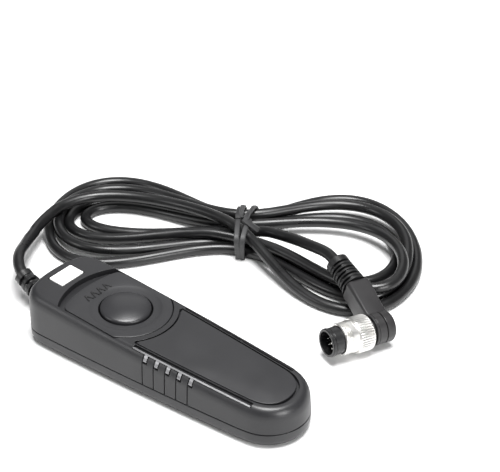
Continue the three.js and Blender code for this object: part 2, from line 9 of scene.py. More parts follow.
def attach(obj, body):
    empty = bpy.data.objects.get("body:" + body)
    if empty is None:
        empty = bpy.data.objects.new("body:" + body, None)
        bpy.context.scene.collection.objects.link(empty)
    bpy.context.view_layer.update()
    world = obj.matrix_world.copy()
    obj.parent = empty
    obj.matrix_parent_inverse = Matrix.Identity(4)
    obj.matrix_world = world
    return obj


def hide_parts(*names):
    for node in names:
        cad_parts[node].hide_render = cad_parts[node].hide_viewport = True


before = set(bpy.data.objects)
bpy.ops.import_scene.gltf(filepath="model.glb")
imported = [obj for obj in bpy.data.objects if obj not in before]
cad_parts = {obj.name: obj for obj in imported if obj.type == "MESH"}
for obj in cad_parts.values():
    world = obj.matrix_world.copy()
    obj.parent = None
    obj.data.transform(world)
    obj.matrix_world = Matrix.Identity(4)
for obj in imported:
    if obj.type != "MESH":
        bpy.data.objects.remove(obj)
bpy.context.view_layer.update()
mm = 0.001
deg = math.pi / 180
print("stage: frame loaded")


# sRGB hex to linear
def fromHex(code):
    parts = [int(code[i : i + 2], 16) / 255 for i in (1, 3, 5)]
    linear = [c / 12.92 if c <= 0.04045 else ((c + 0.055) / 1.055) ** 2.4 for c in parts]
    return (*linear, 1.0)


def addNode(tree, kind, settings=None, inputs=None, links=None):
    node = tree.nodes.new(kind)
    for key, value in (settings or {}).items():
        setattr(node, key, value)
    for key, value in (inputs or {}).items():
        node.inputs[key].default_value = value
    for key, source in (links or {}).items():
        tree.links.new(source, node.inputs[key])
    return node


# grain and bump: size in mm and strength of the surface texture; wear and wearSize: how far the roughness
# wanders over the piece, and over how many mm; edge: radius in mm to which sharp edges look rounded
def makeMaterial(
    name, colour, rough, metal=0.0, grain=0.0, bump=0.0, wear=0.06, wearSize=14.0, coat=0.0, edge=0.0
):
    material = bpy.data.materials.new(name)
    material.use_nodes = True
    tree = material.node_tree
    tree.nodes.clear()
    place = addNode(tree, "ShaderNodeTexCoord").outputs["Object"]
    cloud = addNode(
        tree, "ShaderNodeTexNoise", None, {"Scale": 1 / (wearSize * mm), "Detail": 4.0}, {"Vector": place}
    ).outputs["Fac"]
    roughness = addNode(
        tree,
        "ShaderNodeMapRange",
        None,
        {"From Min": 0.3, "From Max": 0.7, "To Min": rough - wear, "To Max": rough + wear},
        {"Value": cloud},
    ).outputs["Result"]
    tint = addNode(
        tree,
        "ShaderNodeMapRange",
        None,
        {"From Min": 0.3, "From Max": 0.7, "To Min": 0.93, "To Max": 1.07},
        {"Value": cloud},
    ).outputs["Result"]
    shade = addNode(
        tree, "ShaderNodeVectorMath", {"operation": "SCALE"}, {0: fromHex(colour)[:3]}, {"Scale": tint}
    ).outputs["Vector"]
    links = {"Base Color": shade, "Roughness": roughness}
    normal = None
    if edge:
        normal = addNode(tree, "ShaderNodeBevel", {"samples": 4}, {"Radius": edge * mm}).outputs["Normal"]
        links["Normal"] = normal
    if grain:
        speckle = addNode(
            tree, "ShaderNodeTexNoise", None, {"Scale": 1 / (grain * mm), "Detail": 2.0}, {"Vector": place}
        ).outputs["Fac"]
        bumpLinks = {"Height": speckle}
        if normal:
            bumpLinks["Normal"] = normal
        links["Normal"] = addNode(
            tree, "ShaderNodeBump", None, {"Strength": bump, "Distance": 0.05 * mm}, bumpLinks
        ).outputs["Normal"]
    inputs = {"Metallic": metal, "Coat Weight": coat, "Coat Roughness": 0.2}
    surface = addNode(tree, "ShaderNodeBsdfPrincipled", None, inputs, links).outputs["BSDF"]
    addNode(tree, "ShaderNodeOutputMaterial", None, None, {"Surface": surface})
    return material


# grain sizes are coarser than the real mould texture, which is finer than the eye can see here
finish = {
    # spark-eroded charcoal ABS: soft wide highlights on the shoulder, never mirror-like
    "caseAbs": makeMaterial("abs_fine_texture", "#1e1e20", 0.4, grain=0.35, bump=0.35, edge=0.22),
    # the same texture on a separate moulding: a shade lighter than the case round it
    "plateAbs": makeMaterial("abs_plate_fine_texture", "#222224", 0.42, grain=0.35, bump=0.3, edge=0.15),
    # smoother moulding, so the dome shows one soft crescent of light
    "buttonAbs": makeMaterial("abs_button_satin", "#242426", 0.33, grain=0.5, bump=0.1, wear=0.04),
    # smooth moulded inlay: an even, calm dark field
    "panelAbs": makeMaterial("abs_panel_smooth", "#202022", 0.42, grain=0.5, bump=0.12, wear=0.05),
    # satin plating on plastic: bright thin lines against the dark case
    "trimPlating": makeMaterial("satin_plating", "#a2a2a4", 0.38, metal=1.0, wear=0.05),
    # lacquered white insert: flat and bright with a faint gloss
    "badge": makeMaterial("white_insert_gloss", "#f4f4f2", 0.3, wear=0.03, coat=0.2),
    # moulded with the plate but smoother, so in itself told apart only where light grazes it; its colour is
    # darker than the plate's as painted shade for the dark outlines round the raised strokes
    "marks": makeMaterial("abs_marks_painted_shade", "#19191a", 0.36),
    # soft extruded jacket: long highlight along each strand, with faint handling haze
    "cordPvc": makeMaterial(
        "pvc_jacket_satin", "#0f0f10", 0.33, grain=0.8, bump=0.12, wear=0.07, wearSize=9.0
    ),
    # moulded soft PVC: dull black ribs with deeper black between them
    "reliefPvc": makeMaterial("pvc_relief_satin", "#131314", 0.4, grain=0.6, bump=0.2, edge=0.08),
    # ribbed extruded tie: greyer and duller than the cord it holds
    "tie": makeMaterial("pvc_ribbed_tie", "#2c2c2d", 0.5, grain=0.5, bump=0.2, edge=0.08),
    # moulded over the plug: satin, with a thin light line on each edge
    "plugPvc": makeMaterial("plug_moulding_satin", "#232223", 0.4, grain=0.5, bump=0.2, edge=0.15),
    # hard moulded shroud: a sharper highlight along the tube
    "shroud": makeMaterial("shroud_satin", "#1a1a1b", 0.33, wear=0.05, edge=0.1),
    # moulded thermoset: matte, so the contacts stand out against it
    "insulator": makeMaterial("insulator_matte", "#121214", 0.55),
    # turned and plated brass: nearly white with dark lines where the knurl turns away
    "nickel": makeMaterial("nickel_plated_brass", "#f2f1ee", 0.33, metal=1.0, wear=0.04, wearSize=4.0),
    # silver-plated contacts: small bright points in the dark mouth
    "pins": makeMaterial("silver_plated_contact", "#e2e1de", 0.18, metal=1.0, wear=0.04, wearSize=3.0),
    # drawn wire: a bright line along each coil
    "spring": makeMaterial("drawn_spring_steel", "#b4b6ba", 0.28, metal=1.0),
    # zinc plating: pale grey and slightly dull
    "screw": makeMaterial("zinc_plated_steel", "#aeb0b2", 0.35, metal=1.0),
    # solder mask over laminate: flat dark green
    "board": makeMaterial("green_solder_mask", "#2b5b38", 0.45),
    # rolled sheet: warm yellow sheen
    "brass": makeMaterial("spring_brass", "#c9a655", 0.28, metal=1.0),
    # extruded insulation: plain satin colours
    "wireRed": makeMaterial("wire_insulation_red", "#a33028", 0.4),
    "wireWhite": makeMaterial("wire_insulation_white", "#dedede", 0.4),
    "wireBlack": makeMaterial("wire_insulation_black", "#1c1c1c", 0.4),
    # moulded clamp: mid grey, no shine
    "nylon": makeMaterial("clamp_nylon_matte", "#8a8a8c", 0.5),
}
print("stage: materials made")


# the shapes below are in mm until a piece is made; rings are closed loops with equal counts of points
def ringsToMesh(rings, ends=(True, True)):
    count = len(rings[0])
    points = [tuple(p) for ring in rings for p in ring]
    faces = []
    for r in range(len(rings) - 1):
        for i in range(count):
            a, b = r * count + i, r * count + (i + 1) % count
            faces.append((a, b, b + count, a + count))
    if ends[0]:
        faces.append(tuple(range(count - 1, -1, -1)))
    if ends[1]:
        faces.append(tuple(range((len(rings) - 1) * count, len(rings) * count)))
    return points, faces


def joined(*parts):
    points, faces = [], []
    for somePoints, someFaces in parts:
        start = len(points)
        points += list(somePoints)
        faces += [tuple(i + start for i in face) for face in someFaces]
    return points, faces


def lathe(profile, axis="x", segments=96):
    rings = []
    for along, radius in profile:
        radius = max(radius, 0.001)
        turn = [i * 2 * math.pi / segments for i in range(segments)]
        if axis == "x":
            rings.append([(along, radius * math.cos(a), radius * math.sin(a)) for a in turn])
        else:
            rings.append([(radius * math.cos(a), radius * math.sin(a), along) for a in turn])
    return ringsToMesh(rings)


# moves an anticlockwise loop inwards
def inset(loop, amount):
    loop = np.array(loop, float)
    along = np.roll(loop, -1, 0) - np.roll(loop, 1, 0)
    along /= np.linalg.norm(along, axis=1)[:, None] + 1e-12
    return loop + amount * np.stack([-along[:, 1], along[:, 0]], 1)


# a flat plate from an anticlockwise outline, with a rounded top edge
def plateFrom(loop, low, high, edge=0.0, steps=3):
    layers = [(0.0, low), (0.0, high - edge)]
    for i in range(1, steps + 1 if edge else 1):
        a = i / steps * math.pi / 2
        layers.append((edge * (1 - math.cos(a)), high - edge + edge * math.sin(a)))
    return ringsToMesh([[(x, y, z) for x, y in inset(loop, d)] for d, z in layers])


def boxMesh(x0, x1, y0, y1, z0, z1):
    return plateFrom([(x0, y0), (x1, y0), (x1, y1), (x0, y1)], z0, z1)


def toMesh(name, shape, place=Matrix.Identity(4)):
    points, faces = shape
    mesh = bpy.data.meshes.new(name)
    mesh.from_pydata([place @ Vector(p) for p in points], [], faces)
    mesh.transform(Matrix.Scale(mm, 4))
    work = bmesh.new()
    work.from_mesh(mesh)
    bmesh.ops.remove_doubles(work, verts=work.verts, dist=1e-7)
    bmesh.ops.recalc_face_normals(work, faces=work.faces)
    work.to_mesh(mesh)
    work.free()
    return mesh


def softenEdges(mesh, limit=34):
    work = bmesh.new()
    work.from_mesh(mesh)
    for face in work.faces:
        face.smooth = True
    for e in work.edges:
        e.smooth = len(e.link_faces) == 2 and e.calc_face_angle(0.0) < limit * deg
    work.to_mesh(mesh)
    work.free()


def makePiece(name, shape, look, body, stands=(), place=Matrix.Identity(4), limit=34):
    mesh = shape if isinstance(shape, bpy.types.Mesh) else toMesh(name, shape, place)
    softenEdges(mesh, limit)
    mesh.materials.clear()
    mesh.materials.append(finish[look])
    piece = bpy.data.objects.new(name, mesh)
    bpy.context.scene.collection.objects.link(piece)
    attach(piece, body)
    if stands:
        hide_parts(*stands)
    return piece


# the base with each cut taken away and each extra added, in order
def carve(name, base, steps):
    mesh = toMesh(name, base[0], base[1])
    work = bpy.data.objects.new(name + "_work", mesh)
    bpy.context.scene.collection.objects.link(work)
    for kind, shape, place in steps:
        tool = bpy.data.objects.new("tool", toMesh("tool", shape, place))
        bpy.context.scene.collection.objects.link(tool)
        step = work.modifiers.new("step", "BOOLEAN")
        step.operation, step.object, step.solver = kind, tool, "EXACT"
        bpy.context.view_layer.update()
        done = bpy.data.meshes.new_from_object(work.evaluated_get(bpy.context.evaluated_depsgraph_get()))
        work.modifiers.clear()
        work.data = done
        bpy.data.objects.remove(tool)
    done = work.data
    bpy.data.objects.remove(work)
    return done


# camera: place in mm, angles in degrees, lens in mm
camera = {"place": (232.72, -260.02, 274.02), "azimuth": 37.403, "elevation": 32.229, "lens": 93.6}
lens = bpy.data.cameras.new("camera")
lens.lens, lens.sensor_width, lens.clip_start, lens.clip_end = camera["lens"], 36, 0.01, 20
eye = bpy.data.objects.new("camera", lens)
bpy.context.scene.collection.objects.link(eye)
az, el = camera["azimuth"] * deg, camera["elevation"] * deg
forward = Vector((-math.sin(az) * math.cos(el), math.cos(az) * math.cos(el), -math.sin(el)))
right = Vector((math.cos(az), math.sin(az), 0))
above = right.cross(forward)
eye.matrix_world = Matrix.Translation(Vector(camera["place"]) * mm) @ Matrix(
    (
        (right.x, above.x, -forward.x, 0),
        (right.y, above.y, -forward.y, 0),
        (right.z, above.z, -forward.z, 0),
        (0, 0, 0, 1),
    )
)
bpy.context.scene.camera = eye

# cord: laid turn by turn, then settled
cordSettings = {
    "diameter": 4.3,
    "spacing": 2.0,  # between the points of its centreline
    "rounds": 260,
    "heldAtStart": 18,  # points that stay where they are laid
    "heldAtEnd": 30,
    "passesPlug": 16,  # last points, which run into the plug
    "pull": 0.05,  # how firmly each turn keeps to where it is laid
    "bend": 0.11,  # how much the jacket evens out its own curvature
    "sag": 0.017,  # drop in each round
}
waist, coilTurn = np.array([-30.0, 80.0, 0.0]), 29.5 * deg
alongCoil = np.array([math.cos(coilTurn), math.sin(coilTurn), 0])
acrossCoil = np.array([-math.sin(coilTurn), math.cos(coilTurn), 0])
upwards = np.array([0, 0, 1.0])


def fromCoil(p):
    p = np.asarray(p, float)
    return waist + p[..., :1] * alongCoil + p[..., 1:2] * acrossCoil + p[..., 2:] * upwards


def toCoil(p):
    d = np.asarray(p, float) - waist
    return np.stack([d @ alongCoil, d @ acrossCoil, d[..., 2]], -1)


# out of the handset, in the frame of the whole part
leadPath = [
    (-71.4, 1.6, 10.0), (-75.4, 3.8, 11.2), (-79.6, 7.6, 11.1), (-83.4, 12.2, 10.0),
    (-87.0, 17.6, 8.6), (-90.4, 23.6, 7.7), (-93.0, 29.6, 7.5),
]
# everything below is in the coil's frame: along the bundle, across it, height
leadOver = [
    (-79.5, -8, 8.4), (-78.5, -1, 9.4), (-74.5, 6.5, 10.4), (-66.5, 12.5, 10.4),
    (-54, 15.6, 9.2), (-41, 14.6, 8.6), (-26, 9.6, 8.8), (-13, 3.2, 9.8),
]
rightTurns = [
    [(8, -13.5, 8), (16, -25, 4.6), (26, -35.5, 2.2), (38, -43.5, 2.2), (49, -45.5, 2.2), (58, -38.5, 2.2),
     (63.5, -24, 2.2), (65.5, -6, 2.2), (64, 9, 2.2), (59, 22, 2.2), (50, 32.5, 2.2), (37, 37.5, 2.2),
     (23, 32.5, 2.2), (11, 21, 2.2)],
    [(9, -10.5, 2.3), (20, -20, 2.3), (32, -30, 2.3), (44, -37, 2.8), (54, -37, 4.8), (60.5, -28, 6.2),
     (64.5, -13, 6.3), (64, 2, 6.3), (59.5, 14.5, 6.3), (51, 23, 6.3), (39, 27.5, 6.3), (26, 25.5, 6.3),
     (13, 18, 6.3)],
    [(9, -6.5, 2.3), (20, -14.5, 2.3), (31, -23.5, 2.3), (42, -29, 2.2), (51, -26.5, 2.2), (58, -17, 2.2),
     (60.5, -4, 2.2), (58, 9, 2.2), (50, 18, 2.2), (38, 21.5, 2.2), (26, 20.5, 2.2), (12, 14.5, 2.2)],
    [(8, -6.5, 6.2), (18, -13, 6.2), (29, -22.5, 6.2), (40, -33, 6.2), (51, -38.5, 6.4), (59.5, -36, 6.4),
     (63, -26, 6.4), (62.5, -13, 6.4), (58.5, -1, 6.4), (50.5, 8, 6.4), (38, 12.3, 6.4), (24, 11.5, 6.2),
     (11, 9.3, 6.2)],
]
leftTurns = [
    [(-14, 17, 2.4), (-29, 26.8, 2.4), (-44, 36, 2.4), (-56, 38.5, 2.4), (-67, 35.5, 2.4), (-74.5, 27.5, 2.2),
     (-77.6, 16, 2.2), (-77.8, 3, 2.2), (-76, -9, 2.2), (-71.5, -19, 2.2), (-64, -26, 2.2), (-50, -27.2, 2.2),
     (-35, -19.5, 2.2), (-18, -10.5, 2.2)],
    [(-14, 13, 6.2), (-28, 21.5, 5.4), (-42, 29, 4.2), (-54, 31, 3.6), (-65, 28, 4.2), (-72.5, 20.5, 5.8),
     (-75.8, 9, 6.2), (-75, -3, 5.8), (-71, -11.5, 5.2), (-64, -18, 4.8), (-54, -20.6, 4.6),
     (-42, -17.5, 4.6), (-30, -10.5, 4.6), (-16, -6.5, 4.2)],
    [(-13, 8.5, 2.2), (-28, 15.5, 2.2), (-42, 21.5, 2.2), (-54, 23.5, 2.2), (-66, 20.8, 2.2),
     (-73, 12.8, 2.2), (-74, 2.2, 2.2), (-69, -7.2, 2.2), (-58.5, -11, 2.4), (-46, -8.5, 2.8),
     (-34, -3.5, 3.6), (-22, -2.4, 4.6), (-11, -4.4, 5.6)],
    [(-12, 5, 6), (-24, 10, 3.4), (-36, 15.8, 2.4), (-49, 19.2, 2.2), (-60, 18, 2.2), (-67.4, 13, 2.2),
     (-69.8, 6.2, 2.2), (-66.6, -0.4, 2.2), (-57.5, -3.9, 2.2), (-44, -3.6, 2.3), (-30, -1.4, 2.8)],
]
tiePassIn = [(0, -5.0, 9.8), (0, -4.4, 2.3), (0, 0.0, 2.3), (0, -6.6, 6.1)]
tiePassOut = [(0, 8.8, 2.3), (0, 6.6, 6.1), (0, 4.4, 2.3), (0, 2.2, 6.1)]
tailPath = [
    (-18, 0.2, 4.6), (-9, -0.8, 5.8), (0, -2.0, 6.4), (9, -3.2, 7.9), (18.4, -8.6, 9.4),
    (27.2, -18.0, 12.7), (34.6, -26.4, 15.0), (38.3, -31.3, 14.6),
]

# the plug's frame: +x towards its mouth, -y towards the cord
plugPlace = Vector((47.75, 58.5, 6.6))


def direction(plan, rise):
    level = math.cos(rise * deg)
    return Vector((math.cos(plan * deg) * level, math.sin(plan * deg) * level, math.sin(rise * deg)))


plugAxis, bootAxis = direction(-113.6, 2.9), direction(155.67, 14.13)
plugUp = bootAxis.cross(plugAxis).normalized()
plugSide = plugUp.cross(plugAxis).normalized()
plugFrame = Matrix.Translation(plugPlace) @ Matrix((plugAxis, plugSide, plugUp)).transposed().to_4x4()


# an even, smooth line through points, with no loops where they lie close
def centripetal(points, spacing):
    points = np.array(points, float)
    p = np.vstack([2 * points[0] - points[1], points, 2 * points[-1] - points[-2]])
    out = []
    for i in range(1, len(p) - 2):
        a, b, c, d = p[i - 1 : i + 3]
        t = np.cumsum([0] + [np.linalg.norm(q) ** 0.5 for q in (b - a, c - b, d - c)])
        u = np.linspace(t[1], t[2], 16, endpoint=False)[:, None]
        ab = ((t[1] - u) * a + (u - t[0]) * b) / (t[1] - t[0])
        bc = ((t[2] - u) * b + (u - t[1]) * c) / (t[2] - t[1])
        cd = ((t[3] - u) * c + (u - t[2]) * d) / (t[3] - t[2])
        abc = ((t[2] - u) * ab + (u - t[0]) * bc) / (t[2] - t[0])
        bcd = ((t[3] - u) * bc + (u - t[1]) * cd) / (t[3] - t[1])
        out.append(((t[2] - u) * abc + (u - t[1]) * bcd) / (t[2] - t[1]))
    out = np.vstack([*out, p[-2:-1]])
    run = np.concatenate([[0], np.cumsum(np.linalg.norm(np.diff(out, axis=0), axis=1))])
    even = np.linspace(0, run[-1], int(round(run[-1] / spacing)) + 1)
    return np.stack([np.interp(even, run, out[:, i]) for i in range(3)], 1)


# lets the laid turns push apart, settle on the ground and on each other, and even out their bends
def settle(line, rounds):
    diameter, spacing = cordSettings["diameter"], cordSettings["spacing"]
    p, laid, n = line.copy(), line.copy(), len(line)
    index = np.arange(n)
    free = (index >= cordSettings["heldAtStart"]) & (index < n - cordSettings["heldAtEnd"])
    free = free.astype(float)[:, None]
    reached = index < n - cordSettings["passesPlug"]
    capsules = [  # the plug's drum and mouth, its boot, and its relief, each with a radius
        (plugPlace - plugAxis * 4.6, plugPlace + plugAxis * 23.6, 5.9),
        (plugPlace, plugPlace + bootAxis * 20, 4.2),
        (plugPlace + bootAxis * 20, plugPlace + bootAxis * 30, 4.0),
    ]
    capsules = [(toCoil(np.array(a)), toCoil(np.array(b)), r) for a, b, r in capsules]
    first, second = np.triu_indices(n, int(math.ceil(2.6 * diameter / spacing)))
    for k in range(rounds):
        hold = cordSettings["pull"] * (1 - 0.6 * k / rounds)
        along = np.gradient(p, axis=0)
        along /= np.linalg.norm(along, axis=1)[:, None]
        lag = (laid - p) * [1, 1, 0.5]
        lag -= 0.3 * (lag * along).sum(1)[:, None] * along
        p += free * hold * lag
        p[:, 2] -= free[:, 0] * cordSettings["sag"]
        for m in (1, 2, 4, 6):
            bulge = p[m:-m] - (p[: -2 * m] + p[2 * m :]) / 2
            soft = bulge.copy()
            soft[m:-m] = (bulge[: -2 * m] + bulge[2 * m :]) / 2
            p[m:-m] += free[m:-m] * cordSettings["bend"] * (soft - bulge)
        if k % 4 == 0:
            close = np.abs(p[first] - p[second]).max(1) < diameter * 1.9
            i, j = first[close], second[close]
        for _ in range(3):
            d = p[i] - p[j]
            far = np.linalg.norm(d, axis=1) + 1e-9
            push = np.clip(diameter * 1.01 - far, 0, None) * 0.5
            step = d / far[:, None] * push[:, None] * 0.5
            moved, hits = np.zeros_like(p), np.zeros(n)
            np.add.at(moved, i, step)
            np.add.at(moved, j, -step)
            np.add.at(hits, i, push > 0)
            np.add.at(hits, j, push > 0)
            p += free * moved / np.maximum(1, hits * 0.35)[:, None]
            for a, b, radius in capsules:
                share = np.clip((p - a) @ (b - a) / ((b - a) @ (b - a)), 0, 1)
                away = p - a - share[:, None] * (b - a)
                far = np.linalg.norm(away, axis=1) + 1e-9
                push = np.clip(radius + diameter / 2 + 0.15 - far, 0, None) * reached
                p += free * away / far[:, None] * push[:, None] * 0.6
            p[:, 2] = np.maximum(p[:, 2], diameter / 2 + 0.02)
    return p


coilPlan = [tuple(q) for q in toCoil(leadPath)] + leadOver
for k in range(4):
    coilPlan += [tiePassIn[k], *rightTurns[k], tiePassOut[k], *leftTurns[k]]
coilPlan += tailPath
centre = fromCoil(settle(centripetal(coilPlan, cordSettings["spacing"]), cordSettings["rounds"]))
centre = centripetal(centre, 1.0)
cordEnds = [np.array([-68.6, 1.05, 8.6]), np.array(plugPlace + bootAxis * 30.5)]
cordLine = np.vstack([cordEnds[0], centre, cordEnds[1]])
curve = bpy.data.curves.new("cord", "CURVE")
curve.dimensions, curve.bevel_depth, curve.bevel_resolution = "3D", cordSettings["diameter"] / 2 * mm, 6
curve.use_fill_caps = True
spline = curve.splines.new("POLY")
spline.points.add(len(cordLine) - 1)
spline.points.foreach_set("co", np.hstack([cordLine * mm, np.ones((len(cordLine), 1))]).ravel())
spline.use_smooth = True
curve.materials.append(finish["cordPvc"])
cord = bpy.data.objects.new("cord", curve)
bpy.context.scene.collection.objects.link(cord)
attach(cord, "root")
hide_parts("cord_lead", "cord_coil", "cord_tail")

# tie round the waist of the coil, in the coil's frame
tieSettings = {
    "width": 2.1,
    "thickness": 0.8,
    "rib": 0.16,  # share of the thickness by which the ribs stand out
    "slack": 0.25,
    "bow": 1.1,
    # each wrap: where it starts and ends along the bundle, how far it is lifted, which way it bows
    "wraps": ((-2.0, -1.3, 0.0, 1), (2.4, 0.6, 0.12, -1)),
    # each loose end, from the top of the wraps
    "ends": (
        ((-1.9, -1.0, 0.6), (-2.2, 1.5, 1.2), (-2.6, 4.6, 1.9)),
        ((0.4, -2.2, 0.8), (3.4, -5.2, 1.1), (7.0, -8.2, 0.6)),
        ((1.2, -2.5, 0.9), (2.0, 1.5, 1.6), (2.6, 5.0, 2.1)),
    ),
    "twist": 70,
}
inTie = toCoil(centre)
inTie = inTie[np.abs(inTie[:, 0]) < 5]


# a tight closed line round all the strands at the waist
def bundleRing(grow, steps=96):
    cross = inTie[:, 1:]
    turn = np.linspace(0, 2 * math.pi, steps, endpoint=False)
    normals = np.stack([np.cos(turn), np.sin(turn)], 1)
    reach = (cross @ normals.T).max(0) + cordSettings["diameter"] / 2 + grow
    out = []
    for i in range(steps):  # corners where neighbouring tangent lines cross
        j = (i + 1) % steps
        two = np.array([normals[i], normals[j]])
        out.append(np.linalg.solve(two, [reach[i], reach[j]]))
    out = np.array(out)
    out[:, 1] = np.maximum(out[:, 1], tieSettings["thickness"] / 2 + 0.02)
    closed = np.vstack([out, out[:1]])
    run = np.concatenate([[0], np.cumsum(np.linalg.norm(np.diff(closed, axis=0), axis=1))])
    even = np.linspace(0, run[-1], steps, endpoint=False)
    return np.stack([np.interp(even, run, closed[:, i]) for i in range(2)], 1)


# a flat ribbed strip along a path; sideways is the direction of its width at each point
def strip(path, sideways):
    path = np.array(path, float)
    along = np.gradient(path, axis=0)
    along /= np.linalg.norm(along, axis=1)[:, None]
    sideways = sideways - (sideways * along).sum(1)[:, None] * along
    sideways /= np.linalg.norm(sideways, axis=1)[:, None]
    out = np.cross(along, sideways)
    rings = []
    for k in range(len(path)):
        section = []
        for i in range(20):
            a = i * 2 * math.pi / 20
            x = math.copysign(abs(math.cos(a)) ** 0.5, math.cos(a)) * tieSettings["width"] / 2
            y = math.copysign(abs(math.sin(a)) ** 0.7, math.sin(a)) * tieSettings["thickness"] / 2
            y *= 1 + (tieSettings["rib"] if i % 2 else -tieSettings["rib"])
            section.append(path[k] + sideways[k] * x + out[k] * y)
        rings.append(section)
    return ringsToMesh(rings)


tieRing = bundleRing(tieSettings["thickness"] / 2 + tieSettings["slack"])
crown = int(np.argmin(np.hypot(tieRing[:, 0] + 1.5, tieRing[:, 1] - 30)))
tieRing = np.roll(tieRing, -crown, 0)
share = np.linspace(0, 1, len(tieRing))
outwards = tieRing - tieRing.mean(0)
outwards /= np.linalg.norm(outwards, axis=1)[:, None]
passes = []
for start, end, lift, lean in tieSettings["wraps"]:
    shift = start + (end - start) * share + tieSettings["bow"] * np.sin(share * 2 * math.pi) * lean
    path = np.column_stack([shift, tieRing + outwards * lift])
    passes.append(strip(path, np.tile([1.0, 0, 0], (len(path), 1))))
for bends in tieSettings["ends"]:
    path = centripetal(np.array(bends) + [0, *tieRing[0]], 0.7)
    twist = np.linspace(0, tieSettings["twist"] * deg, len(path))
    passes.append(strip(path, np.stack([np.cos(twist), np.sin(twist) * 0.3, np.sin(twist)], 1)))
tiePoints, tieFaces = joined(*passes)
tiePoints = [tuple(p) for p in fromCoil(np.array(tiePoints))]
makePiece("tie", (tiePoints, tieFaces), "tie", "root", ["cord_tie"], limit=50)
print("stage: tie made")

# the case: x runs from the cord end to the free end, and the deck slopes down that way
case = {
    "rear": -55.05,
    "front": 55.05,
    "frontRadius": 13.8,
    "halfWidth": 16.74,  # at widestX, from where the sides bow in
    "widestX": -49,
    "bow": 3.36e-4,
    "seam": 5.6,
    "seamGap": 0.3,
    "seamBreak": 0.15,  # small chamfer on both sides of the seam
    "fillet": 3.4,
    "filletInset": 3.2,
    "shoulderDrop": 4.5,
    "shoulderInset": 2.9,
    "draft": 0.3,
    "deckX": -19.05,  # the button's axis
    "deckZ": 18.8,
    "slope": 3.6 * deg,
    "wall": 2.0,
    "roof": 2.4,
}
screwPost = {"radius": 4.0, "height": 4.6, "headRadius": 2.7, "headDepth": 1.9, "shankRadius": 1.5}
screwSpots = ((-45, 10.6), (-45, -10.6), (43, 0))


def arc(cx, cy, radius, start, end, steps=24):
    return [(cx + radius * math.cos(a), cy + radius * math.sin(a)) for a in np.linspace(start, end, steps)]


# t is a column of shares from 0 to 1
def cubic(points, t):
    b = np.array(points, float)
    return (1 - t) ** 3 * b[0] + 3 * t * (1 - t) ** 2 * b[1] + 3 * t**2 * (1 - t) * b[2] + t**3 * b[3]


def roundedBox(x0, x1, y0, y1, radius, steps):
    left, right, near, away = x0 + radius, x1 - radius, y0 + radius, y1 - radius
    out = []
    for x, y, start in ((right, away, 0), (left, away, 90), (left, near, 180), (right, near, 270)):
        out += arc(x, y, radius, start * deg, (start + 90) * deg, steps)
    return out


def halfWidth(x):
    return case["halfWidth"] - case["bow"] * (x - case["widestX"]) ** 2


def deckHeight(x):
    return case["deckZ"] - (x - case["deckX"]) * math.tan(case["slope"])


def caseOutline(moveIn=0.0, perStretch=34):
    rear, sideStart = case["rear"], case["rear"] + 10.7
    wide = halfWidth(sideStart)
    t = np.linspace(0, 1, perStretch + 1)[:, None]
    corner = cubic([(rear, 0), (rear, 12.5), (sideStart - 7.5, wide), (sideStart, wide)], t)
    frontCentre = case["front"] - case["frontRadius"]
    x = np.linspace(sideStart, frontCentre + 1.0, perStretch + 1)[1:-1]
    side = np.stack([x, halfWidth(x)], 1)
    nose = arc(frontCentre, 0, case["frontRadius"], 86 * deg, 0, perStretch + 1)
    half = np.vstack([corner, side, nose])
    return inset(np.vstack([half * [1, -1], half[1:-1][::-1]]), moveIn)


def levelRing(moveIn, z):
    return [(x, y, z) for x, y in caseOutline(moveIn)]


def deckRing(moveIn, below):
    return [(x, y, deckHeight(x) - below) for x, y in caseOutline(moveIn)]


# mm from the button's axis on the deck, x forward and z off the deck
deckFrame = Matrix.Translation((case["deckX"], 0, case["deckZ"])) @ Matrix.Rotation(case["slope"], 4, "Y")
same = Matrix.Identity(4)


# rounded at the front, straight at the sides, gently arched at the rear
def plateOutline(radius, side, rear, rearRadius, corner):
    rearCentre = rear + rearRadius
    frontAngle = math.asin(side / radius)
    arcSide = side - corner * 0.85
    rearAngle = math.asin(arcSide / rearRadius)
    arcX = rearCentre - rearRadius * math.cos(rearAngle)
    t = np.linspace(0, 1, 10)[1:-1, None]
    sideEnd, bend, rearEnd = np.array([(arcX + corner, side), (arcX + corner * 0.15, side), (arcX, arcSide)])
    turn = (1 - t) ** 2 * sideEnd + 2 * t * (1 - t) * bend + t**2 * rearEnd
    loop = arc(0, 0, radius, -frontAngle, frontAngle, 64) + [tuple(p) for p in turn]
    loop += arc(rearCentre, 0, rearRadius, math.pi - rearAngle, math.pi + rearAngle, 40)
    return loop + [(x, -y) for x, y in turn[::-1]]


# the inlay panel: hollow arc round the lock plate at its rear, blunt curve at its front
panel = {
    "rearRadius": 18.7,
    "rearX": 14.6,
    "inset": 4.15,  # from the case's side
    "closing": 0.008,
    "frontInset": 5.2,
    "noseLength": 10.4,
    "thickness": 1.0,
    "edge": 0.18,
}


def panelHalfWidth(x, grow):
    return halfWidth(x + case["deckX"]) - (panel["inset"] - grow) - panel["closing"] * x


